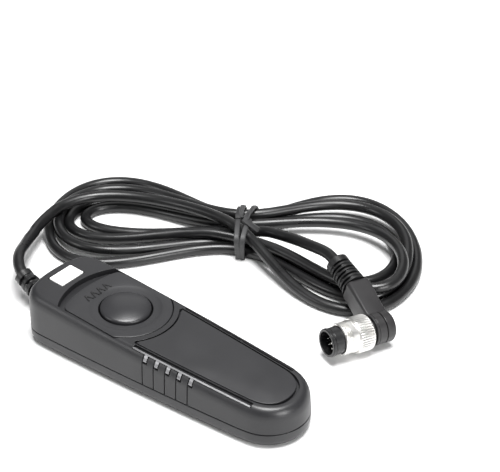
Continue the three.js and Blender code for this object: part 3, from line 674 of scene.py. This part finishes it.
def panelOutline(grow=0.0, frontGrow=0.0):
    rearX, rearRadius = panel["rearX"] - grow, panel["rearRadius"] - grow
    rearAngle = math.asin(min(0.98, (panelHalfWidth(rearX, grow) - 1.2) / rearRadius))
    tip = case["front"] - case["deckX"] - panel["frontInset"] + max(grow, frontGrow)
    sideEnd = tip - panel["noseLength"] - max(grow, frontGrow)
    xs = np.linspace(rearX + 0.6, sideEnd, 30)
    t = np.linspace(0, 1, 20)[1:, None]
    w = panelHalfWidth(sideEnd, grow)
    loop = [(x, -panelHalfWidth(x, grow)) for x in xs]
    loop += [tuple(q) for q in cubic([(sideEnd, -w), (tip - 3.2, -w * 0.98), (tip, -5.5), (tip, 0)], t)]
    loop += [tuple(q) for q in cubic([(tip, 0), (tip, 5.5), (tip - 3.2, w * 0.98), (sideEnd, w)], t)]
    loop += [(x, panelHalfWidth(x, grow)) for x in xs[::-1][1:]]
    return loop + arc(0, 0, rearRadius, rearAngle, -rearAngle, 40)


# bright trim along each shoulder with tabs that hang over it
trim = {
    "from": 15.6,  # forward of the button's axis
    "to": 62.0,
    "outer": 1.85,  # in from the case's side
    "width": 0.45,
    "tabs": 5,
    "firstTab": 21.55,
    "pitch": 4.6,
    "tabWidth": 1.3,
    "tabAngles": (64, 27),
    "slotAngles": (66, 17),
    "slotRoom": 0.42,
    "groove": (-1.05, -0.65),  # upright groove below each tab, from the tab's middle
}


# a point of the rounded shoulder: a is 90 degrees at the deck and 0 at the side, out is measured off it
def shoulder(x, a, out, side):
    inwards, drop = 1 - math.cos(a * deg), 1 - math.sin(a * deg)
    y = halfWidth(x) - case["draft"] - case["shoulderInset"] * inwards + out * math.cos(a * deg)
    z = deckHeight(x) - case["shoulderDrop"] * drop + out * math.sin(a * deg)
    return (x, side * y, z)


def shoulderAngle(fromSide):
    return math.degrees(math.acos(1 - (fromSide - case["draft"]) / case["shoulderInset"]))


# a bar across the shoulder, from one angle to the other
def shoulderBar(x, halfLength, angles, low, high, side):
    corners = ((-halfLength, low), (halfLength, low), (halfLength, high), (-halfLength, high))
    rings = []
    for a in np.linspace(*angles, 9):
        rings.append([shoulder(x + dx, a, out, side) for dx, out in corners])
    return ringsToMesh(rings)


def trimStrip(side, grow, low, high):
    start, end = case["deckX"] + trim["from"] - grow, case["deckX"] + trim["to"] + grow
    outer = shoulderAngle(trim["outer"] - grow * 0.5)
    inner = shoulderAngle(trim["outer"] + trim["width"] + grow)
    corners = ((outer, low), (outer, high), (inner, high), (inner, low))
    rings = []
    for x in np.linspace(start, end, 40):
        rings.append([shoulder(x, a, out, side) for a, out in corners])
    return ringsToMesh(rings)


# groove between the trim and the thin ridge beside the panel
def sideGroove(side):
    rings = []
    for x in np.linspace(trim["from"], trim["to"] + 0.3, 40):
        inner = panelHalfWidth(x, 0.85)
        outer = halfWidth(x + case["deckX"]) - trim["outer"] - trim["width"] + 0.1
        rings.append([(x, side * y, z) for y, z in ((inner, -1.0), (outer, -1.0), (outer, 2), (inner, 2))])
    return ringsToMesh(rings)


def tabGroove(x, side, low):
    wide = halfWidth(x)
    left, right = x + trim["groove"][0], x + trim["groove"][1]
    points, faces = boxMesh(left, right, wide - 0.75, wide + 1, low, deckHeight(x) - 3.0)
    return [(px, side * py, pz) for px, py, pz in points], faces


tabSpots = [case["deckX"] + trim["firstTab"] + i * trim["pitch"] for i in range(trim["tabs"])]
reliefHole = ("DIFFERENCE", lathe([(-8, 3.3), (8, 3.3)], "x", 40), Matrix.Translation((case["rear"], 0, 6.8)))

# lower half: rounded foot, straight wall up to the seam, three screw posts
seam = case["seam"] - case["seamGap"] / 2
rings = []
for i in range(9):
    a = i / 8 * 90 * deg
    rings.append(levelRing(case["filletInset"] * (1 - math.sin(a)), case["fillet"] * (1 - math.cos(a))))
rings += [levelRing(0, seam - case["seamBreak"]), levelRing(0.12, seam)]
hollow = ringsToMesh([levelRing(3.6, 1.8), levelRing(case["wall"], 3.8), levelRing(case["wall"], 7)])
cuts = [("DIFFERENCE", hollow, same), reliefHole]
for x, y in screwSpots:
    spot = Matrix.Translation((x, y, 0))
    radius, head, shank = screwPost["radius"], screwPost["headRadius"], screwPost["shankRadius"]
    cuts.append(("UNION", lathe([(0.2, radius), (screwPost["height"], radius)], "z", 40), spot))
    cuts.append(("DIFFERENCE", lathe([(-1, head), (screwPost["headDepth"], head)], "z", 40), spot))
    cuts.append(("DIFFERENCE", lathe([(-1, shank), (6, shank)], "z", 24), spot))
bottomMesh = carve("case_bottom", (ringsToMesh(rings), same), cuts)
makePiece("case_bottom", bottomMesh, "caseAbs", "root", ["bottom_shell"])

# upper half: wall from the seam, rounded shoulder, sloping deck with its wells
seam = case["seam"] + case["seamGap"] / 2
rings = [levelRing(0.12, seam), levelRing(0, seam + case["seamBreak"])]
for i in range(13):
    a = i / 12 * 90 * deg
    moveIn = case["draft"] + case["shoulderInset"] * (1 - math.cos(a))
    rings.append(deckRing(moveIn, case["shoulderDrop"] * (1 - math.sin(a))))
under = [levelRing(case["wall"], seam - 1), deckRing(2.3, case["roof"] + 3.4), deckRing(4.2, case["roof"])]
stemSlot = arc(0, 0, 10.7, -90 * deg, 90 * deg, 32) + arc(-2.5, 0, 10.7, 90 * deg, 270 * deg, 32)
cuts = [
    ("DIFFERENCE", ringsToMesh(under), same),
    ("UNION", plateFrom(plateOutline(17.2, 14.5, -23.1, 26, 1.2), -3.6, -2.0), deckFrame),
    ("DIFFERENCE", plateFrom(plateOutline(16.3, 14.4, -22.3, 26, 0.8), -2.2, 3), deckFrame),
    ("DIFFERENCE", plateFrom(stemSlot, -8, 3), deckFrame),
    ("DIFFERENCE", plateFrom(panelOutline(0.5, 1.2), -1.3, 3), deckFrame),
]
tabRoom = trim["tabWidth"] / 2 + trim["slotRoom"]
for side in (1, -1):
    cuts.append(("DIFFERENCE", trimStrip(side, 0.28, -1.0, 1.0), same))
    cuts.append(("DIFFERENCE", sideGroove(side), deckFrame))
    for x in tabSpots:
        cuts.append(("DIFFERENCE", shoulderBar(x, tabRoom, trim["slotAngles"], -1.0, 1.2, side), same))
        cuts.append(("DIFFERENCE", tabGroove(x, side, seam - 1), same))
cuts += [reliefHole, ("DIFFERENCE", boxMesh(-31.2, -24.2, -5.6, 5.6, -0.6, 3), deckFrame)]
topMesh = carve("case_top", (ringsToMesh(rings), same), cuts)
makePiece("case_top", topMesh, "caseAbs", "root", ["top_shell"])
print("stage: case carved")

panelShape = plateFrom(panelOutline(), -panel["thickness"], 0, panel["edge"])
makePiece("panel", panelShape, "panelAbs", "root", ["grip_panel"], deckFrame)
for side, name in ((1, "left"), (-1, "right")):
    tabs = [shoulderBar(x, trim["tabWidth"] / 2, trim["tabAngles"], -0.6, -0.06, side) for x in tabSpots]
    shape = joined(trimStrip(side, 0, -0.7, 0.03), *tabs)
    makePiece("trim_" + name + "_strip", shape, "trimPlating", "root", ["trim_" + name])
badge = {"rear": -30.9, "front": -24.5, "halfWidth": 5.3, "corner": 0.5, "proud": 0.2, "edge": 0.12}
badgeHalf = badge["halfWidth"]
badgeLoop = roundedBox(badge["rear"], badge["front"], -badgeHalf, badgeHalf, badge["corner"], 6)
badgeShape = plateFrom(badgeLoop, -0.3, badge["proud"], badge["edge"])
makePiece("badge_insert", badgeShape, "badge", "root", ["badge"], deckFrame)

# lock plate: a slab with a shallow dish round the button, and a cup below that carries it
plate = {
    "radius": 16.0,
    "side": 14.1,
    "rear": -18.2,
    "rearRadius": 42,
    "corner": 3.2,
    "thickness": 1.9,
    "edge": 0.25,
    "dish": 12.3,
    "dishDepth": 0.45,
    "hole": 9.25,
    "cup": 10.4,
    "cupFloor": (-4.3, -5.2),
    "stemHole": 2.3,
}
loop = plateOutline(plate["radius"], plate["side"], plate["rear"], plate["rearRadius"], plate["corner"])
loop = np.array(loop)
loop = np.vstack([np.linspace(a, b, 12, endpoint=False) for a, b in zip(loop, np.roll(loop, -1, 0))])
loop = np.vstack([loop, loop[:1]])
angles = np.unwrap(np.arctan2(loop[:, 1], loop[:, 0]))
turn = np.linspace(angles[0], angles[0] + 2 * math.pi, 241)[:-1]
reach = np.interp(turn, angles, np.hypot(loop[:, 0], loop[:, 1]))
circle = np.stack([np.cos(turn), np.sin(turn)], 1)
edgeLoop = circle * reach[:, None]
underside = -plate["thickness"]
layers = [(circle * plate["cup"], underside), (edgeLoop, underside), (edgeLoop, -plate["edge"])]
for i in (1, 2, 3):
    a = i / 3 * math.pi / 2
    layers.append((inset(edgeLoop, plate["edge"] * (1 - math.cos(a))), -plate["edge"] * (1 - math.sin(a))))
for radius, z in (
    (plate["dish"] + 0.12, 0),
    (plate["dish"], -0.04),
    (10.8, -0.3),
    (plate["hole"] + 0.15, -plate["dishDepth"]),
    (plate["hole"], -plate["dishDepth"] - 0.15),
    (plate["hole"], plate["cupFloor"][0]),
    (plate["stemHole"], plate["cupFloor"][0]),
    (plate["stemHole"], plate["cupFloor"][1]),
    (plate["cup"], plate["cupFloor"][1]),
    (plate["cup"], underside),
):
    layers.append((circle * radius, z))
plateShape = ringsToMesh([[(x, y, z) for x, y in ring] for ring, z in layers], ends=(False, False))
makePiece("lock_plate", plateShape, "plateAbs", "slide", ["slide_plate"], deckFrame)

# raised arrowheads that point the way the lock slides
marks = {
    "count": 4,
    "first": -4.5,
    "pitch": 3.0,
    "tip": -14.6,
    "tail": -11.6,
    "spread": 1.1,
    "halfWidth": 0.24,
    "proud": 0.26,
    "edge": 0.08,
}
strokes = []
for k in range(marks["count"]):
    v = marks["first"] + k * marks["pitch"]
    for sign in (1, -1):
        tip = np.array([marks["tip"], v])
        tail = np.array([marks["tail"], v + sign * marks["spread"]])
        run = tail - tip
        across = np.array([-run[1], run[0]]) / np.linalg.norm(run) * marks["halfWidth"]
        stroke = (tip - across, tail - across, tail + across, tip + across)
        strokes.append(plateFrom([tuple(q) for q in stroke], -0.05, marks["proud"], marks["edge"]))
makePiece("lock_marks", joined(*strokes), "marks", "slide", [], deckFrame)

# button: stem, skirt under the plate's lip, rounded rim, then the shallow dome
button = {
    "radius": 8.75,
    "skirt": 7.4,
    "stem": 2.0,
    "stemEnd": -7.2,
    "rim": 1.15,
    "crown": 1.9,
    "domePower": 2.2,
}
profile = [(button["stemEnd"], 0), (button["stemEnd"], button["stem"]), (-0.2, button["stem"])]
profile += [(-0.2, button["skirt"]), (-1.9, button["skirt"])]
profile += [(-1.9, button["radius"] - 0.15), (-1.75, button["radius"]), (-0.3, button["radius"])]
for i in range(1, 7):
    a = i / 6 * 62 * deg
    profile.append((-0.3 + button["rim"] * math.sin(a), button["radius"] - 2.0 * (1 - math.cos(a))))
rimHeight, rimRadius = profile[-1]
for i in range(1, 13):
    share = 1 - i / 12
    fall = (button["crown"] - rimHeight) * share ** button["domePower"]
    profile.append((button["crown"] - fall, rimRadius * share))
buttonShape = lathe(profile, "z", 128)
makePiece("button", buttonShape, "buttonAbs", "button", ["shutter_button"], deckFrame)
print("stage: handset top made")

# strain reliefs: ribs parted by slots that alternate round the sleeve, then a plain collar
handsetRelief = {"length": 16.5, "root": 4.6, "tip": 3.3, "ribs": 5, "collar": 2.4, "slot": 1.3, "bore": 2.2}
plugRelief = {"length": 12.5, "root": 4.8, "tip": 4.3, "ribs": 6, "collar": 2.6, "slot": 2.1, "bore": 2.2}


def relief(route, sleeve):
    length, ribbed = sleeve["length"], sleeve["length"] - sleeve["collar"]
    pitch = ribbed / sleeve["ribs"]
    rows, around = int(length / 0.14), 72
    turn = [i * 2 * math.pi / around for i in range(around)]
    stations = []
    for r in range(rows + 1):
        x = length * r / rows
        base = sleeve["root"] + (sleeve["tip"] - sleeve["root"]) * min(1, x / ribbed)
        place = (x % pitch) / pitch if x < ribbed else 0.0
        inSlot = max(0.0, min(1.0, (place - 0.46) * 14)) * max(0.0, min(1.0, (0.98 - place) * 12))
        radii = []
        for a in turn:
            bridge = abs(math.cos(a)) if int(x // pitch) % 2 else abs(math.sin(a))
            deep = max(0.0, min(1.0, (0.9 - bridge) * 8))
            radii.append(base - sleeve["slot"] * inSlot * (0.25 + 0.75 * deep))
        stations.append((x, radii))
    stations[-1] = (length, [q - 0.25 for q in stations[-1][1]])
    bore = [sleeve["bore"]] * around
    rings = []
    for x, radii in [(0.0, bore), *stations, (length, bore), (length - 2.0, bore)]:
        middle, across, over = route(x / length)
        ring = [middle + across * q * math.cos(a) + over * q * math.sin(a) for a, q in zip(turn, radii)]
        rings.append([tuple(p) for p in ring])
    return ringsToMesh(rings)


def bentRoute(t):
    a, b, c = Vector((-55.35, 0, 6.8)), Vector((-63.5, 0, 6.8)), Vector(leadPath[0])
    middle = a * (1 - t) ** 2 + b * 2 * t * (1 - t) + c * t**2
    along = ((b - a) * 2 * (1 - t) + (c - b) * 2 * t).normalized()
    across = Vector((0, 0, 1)).cross(along).normalized()
    return middle, across, along.cross(across)


def straightRoute(t):
    return Vector((0, -20.3 - plugRelief["length"] * t, 0)), Vector((1, 0, 0)), Vector((0, 0, 1))


def reliefPiece(name, route, sleeve, node, place=same):
    return makePiece(name, relief(route, sleeve), "reliefPvc", "root", [node], place, limit=28)


reliefPiece("relief_handset", bentRoute, handsetRelief, "handset_relief")
plugReliefPiece = reliefPiece("relief_plug", straightRoute, plugRelief, "plug_relief", plugFrame)

# plug: x along its axis towards the mouth, from the middle of the boot
plug = {
    "drum": 5.6,
    "drumBack": -2.0,
    "backRound": 1.3,
    "parting": 1.9,
    "partingGap": 0.3,
    "drumFront": 6.0,
    "neck": 4.4,
    "bootHalfHeight": 4.1,
}
back, parting, front, drum = plug["drumBack"], plug["parting"], plug["drumFront"], plug["drum"]
gap = plug["partingGap"] / 2
capProfile = [(back, 0)]
for i in range(9):
    a = i / 8 * math.pi / 2
    inwards, down = plug["backRound"] * (1 - math.cos(a)), plug["backRound"] * (1 - math.sin(a))
    capProfile.append((back + inwards, drum - down))
capProfile += [(parting - 2 * gap, drum), (parting - gap, drum - 0.15), (parting - gap, 0)]
capShape = lathe(capProfile)
capPiece = makePiece("plug_cap_moulding", capShape, "plugPvc", "root", ["plug_cap"], plugFrame)
bodyProfile = [(parting + gap, 0), (parting + gap, drum - 0.15), (parting + 2 * gap, drum)]
bodyProfile += [(front - 1.1, drum), (front - 0.95, drum - 0.2), (front - 0.8, drum - 0.2)]
bodyProfile += [(front - 0.65, drum), (front - 0.2, drum), (front, drum - 0.2), (front, plug["neck"])]
bodyProfile += [(front + 0.3, plug["neck"]), (front + 0.3, 0)]


# the boot's section at y; left and right are its sides towards the cap and the mouth
def bootRing(y, left, right, halfHeight, corner):
    return [(x, y, z) for x, z in roundedBox(left, right, -halfHeight, halfHeight, corner, 7)]


bootHeight = plug["bootHalfHeight"]
bootRings = [
    bootRing(-2.0, -2.3, 6.0, bootHeight, 1.0),
    bootRing(-6.0, -2.5, 5.8, bootHeight, 1.0),
    bootRing(-9.0, -2.9, 5.5, bootHeight, 1.1),
    bootRing(-13.0, -3.8, 5.1, bootHeight, 1.2),
    bootRing(-18.8, -4.6, 4.6, bootHeight, 1.5),
    bootRing(-19.6, -4.45, 4.45, bootHeight - 0.15, 1.5),
    bootRing(-20.0, -4.1, 4.1, bootHeight - 0.5, 1.4),
]
bodyShape = joined(lathe(bodyProfile), ringsToMesh(bootRings))
bodyPiece = makePiece(
    "plug_body_moulding", bodyShape, "plugPvc", "root", ["plug_body"], plugFrame
)

# shroud: bead at the mouth, thinner wall towards it
shroud = {
    "back": 6.6,
    "mouth": 23.6,
    "radius": 4.85,
    "bead": 5.05,
    "bore": 4.1,
    "deepBore": 3.8,
    "floor": 7.6,
}
mouth, tube, bead = shroud["mouth"], shroud["radius"], shroud["bead"]
bore, deepBore = shroud["bore"], shroud["deepBore"]
shroudProfile = [(shroud["back"], 0), (shroud["back"], tube), (mouth - 1.7, tube), (mouth - 1.5, tube - 0.15)]
shroudProfile += [(mouth - 1.3, tube), (mouth - 1.1, bead), (mouth - 0.3, bead), (mouth, bead - 0.25)]
shroudProfile += [(mouth, bore + 0.1), (mouth - 0.1, bore), (mouth - 8, bore), (mouth - 8, deepBore)]
shroudProfile += [(shroud["floor"], deepBore), (shroud["floor"], 0)]
shroudShape = lathe(shroudProfile)
shroudPiece = makePiece("shroud", shroudShape, "shroud", "root", ["plug_shroud"], plugFrame)

# coupling ring: knurled grip, two wrench flats, threaded barrel
coupling = {
    "knurls": 44,
    "knurlDepth": 0.36,
    "grip": 6.4,
    "barrel": 5.75,
    "bore": 5.1,
    "flats": 5.3,
    "pitch": 0.5,
    "threadDepth": 0.25,
    "threadFrom": 15.9,
    "threadTo": 18.3,
}


def ringMesh():
    steps = (1.0, 1.0, 1.0, 0.35, 0.0, 0.35)  # one knurl and the groove after it
    count = coupling["knurls"] * len(steps)
    turn = [i * 2 * math.pi / count for i in range(count)]
    rings = []

    def add(x, radius, deep=0.0, flat=99.0):
        ring = []
        for i, a in enumerate(turn):
            r = radius - deep * (1 - steps[i % len(steps)])
            y, z = r * math.cos(a), r * math.sin(a)
            ring.append((x, max(-flat, min(flat, y)), max(-flat, min(flat, z))))
        rings.append(ring)

    grip, barrel = coupling["grip"], coupling["barrel"]
    deep, flat, sunk = coupling["knurlDepth"], coupling["flats"], coupling["threadDepth"]
    add(7.3, coupling["bore"])
    add(7.3, grip - 0.4)
    add(7.7, grip - 0.1)
    add(7.95, grip, deep)
    add(12.7, grip, deep)
    add(13.0, grip - 0.05)
    add(13.5, grip - 0.35)
    add(13.5, barrel)
    add(13.8, barrel)
    add(13.8, barrel, 0, flat)
    add(15.4, barrel, 0, flat)
    add(15.4, barrel)
    add(15.7, barrel)
    x = coupling["threadFrom"]
    while x < coupling["threadTo"]:  # thread drawn as plain grooves at its real pitch
        for share, radius in ((0, barrel), (0.3, barrel), (0.55, barrel - sunk), (0.75, barrel - sunk)):
            add(x + coupling["pitch"] * share, radius)
        x += coupling["pitch"]
    add(18.5, barrel - 0.03)
    add(18.8, barrel - 0.3)
    add(18.8, coupling["bore"])
    rings.append(rings[0])
    return ringsToMesh(rings, ends=(False, False))


# insulator and the ten contacts, eight in a circle and two inside it
contacts = {"circle": 2.75, "inner": 0.95, "radius": 0.42, "from": 18.3, "to": 21.45}
blockShape = lathe([(8.0, 0), (8.0, 3.5), (18.4, 3.5), (18.6, 3.3), (18.6, 0)])
blockPiece = makePiece(
    "insulator", blockShape, "insulator", "root", ["pin_block"], plugFrame
)
spots = []
for i in range(8):
    a = (22.5 + 45 * i) * deg
    spots.append((contacts["circle"] * math.cos(a), contacts["circle"] * math.sin(a)))
spots += [(0, contacts["inner"]), (0, -contacts["inner"])]
pinStart, pinEnd, pinRadius = contacts["from"], contacts["to"], contacts["radius"]
pinProfile = [(pinStart, 0), (pinStart, pinRadius), (pinEnd - 0.35, pinRadius)]
pinProfile += [(pinEnd - 0.1, pinRadius - 0.1), (pinEnd, 0)]
for i, (y, z) in enumerate(spots):
    number = f"{i + 1:02d}"
    place = plugFrame @ Matrix.Translation((0, y, z))
    pin = lathe(pinProfile, "x", 24)
    node = ["contact_pin_" + number]
    makePiece("contact_" + number, pin, "pins", "root", node, place)
ringPiece = makePiece(
    "ring_knurled", ringMesh(), "nickel", "ring", ["coupling_ring"], plugFrame, limit=30
)
print("stage: plug made")

# looks of the frame's own nodes that stay, all inside the case
kept = {
    "screw": ["case_screw_1", "case_screw_2", "case_screw_3"],
    "board": ["switch_board"],
    "brass": ["full_press_leaf", "half_press_leaf", "common_leaf"],
    "wireRed": ["wire_common"],
    "wireWhite": ["wire_half_press"],
    "wireBlack": ["wire_full_press"],
    "nylon": ["cord_clamp"],
    "spring": ["return_spring"],
}
for look, names in kept.items():
    for name in names:
        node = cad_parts[name]
        node.data.materials.clear()
        node.data.materials.append(finish[look])

# pale floor, then four soft lamps in metres
floorMesh = bpy.data.meshes.new("floor")
floorMesh.from_pydata([(-3, -3, 0), (3, -3, 0), (3, 3, 0), (-3, 3, 0)], [], [(0, 1, 2, 3)])
floorMesh.materials.append(makeMaterial("floor_paper", "#e0e0e0", 0.7))
floor = bpy.data.objects.new("floor", floorMesh)
bpy.context.scene.collection.objects.link(floor)
lights = [
    # name, place, size, power, aimed at
    ("top", (0.1, -0.02, 0.85), 0.45, 15.0, (0, 0.03, 0)),
    ("right", (0.75, -0.15, 0.32), 0.3, 4.0, (0, 0.02, 0)),
    ("back", (-0.45, 0.6, 0.5), 0.5, 0.55, (0, 0.03, 0)),
    ("left", (-0.45, -0.6, 0.4), 0.25, 1.2, (-0.03, 0.03, 0)),
]
for name, place, size, power, aim in lights:
    lamp = bpy.data.lights.new(name, "AREA")
    lamp.shape, lamp.size, lamp.energy = "SQUARE", size, power
    holder = bpy.data.objects.new(name, lamp)
    holder.location = place
    holder.rotation_mode = "QUATERNION"
    holder.rotation_quaternion = (Vector(aim) - Vector(place)).to_track_quat("-Z", "Y")
    bpy.context.scene.collection.objects.link(holder)
world = bpy.data.worlds.new("studio")
world.use_nodes = True
background = world.node_tree.nodes["Background"]
background.inputs["Color"].default_value = (1, 1, 1, 1)
background.inputs["Strength"].default_value = 0.2
bpy.context.scene.world = world
bpy.context.scene.view_settings.view_transform = "Standard"
print("stage: light set")
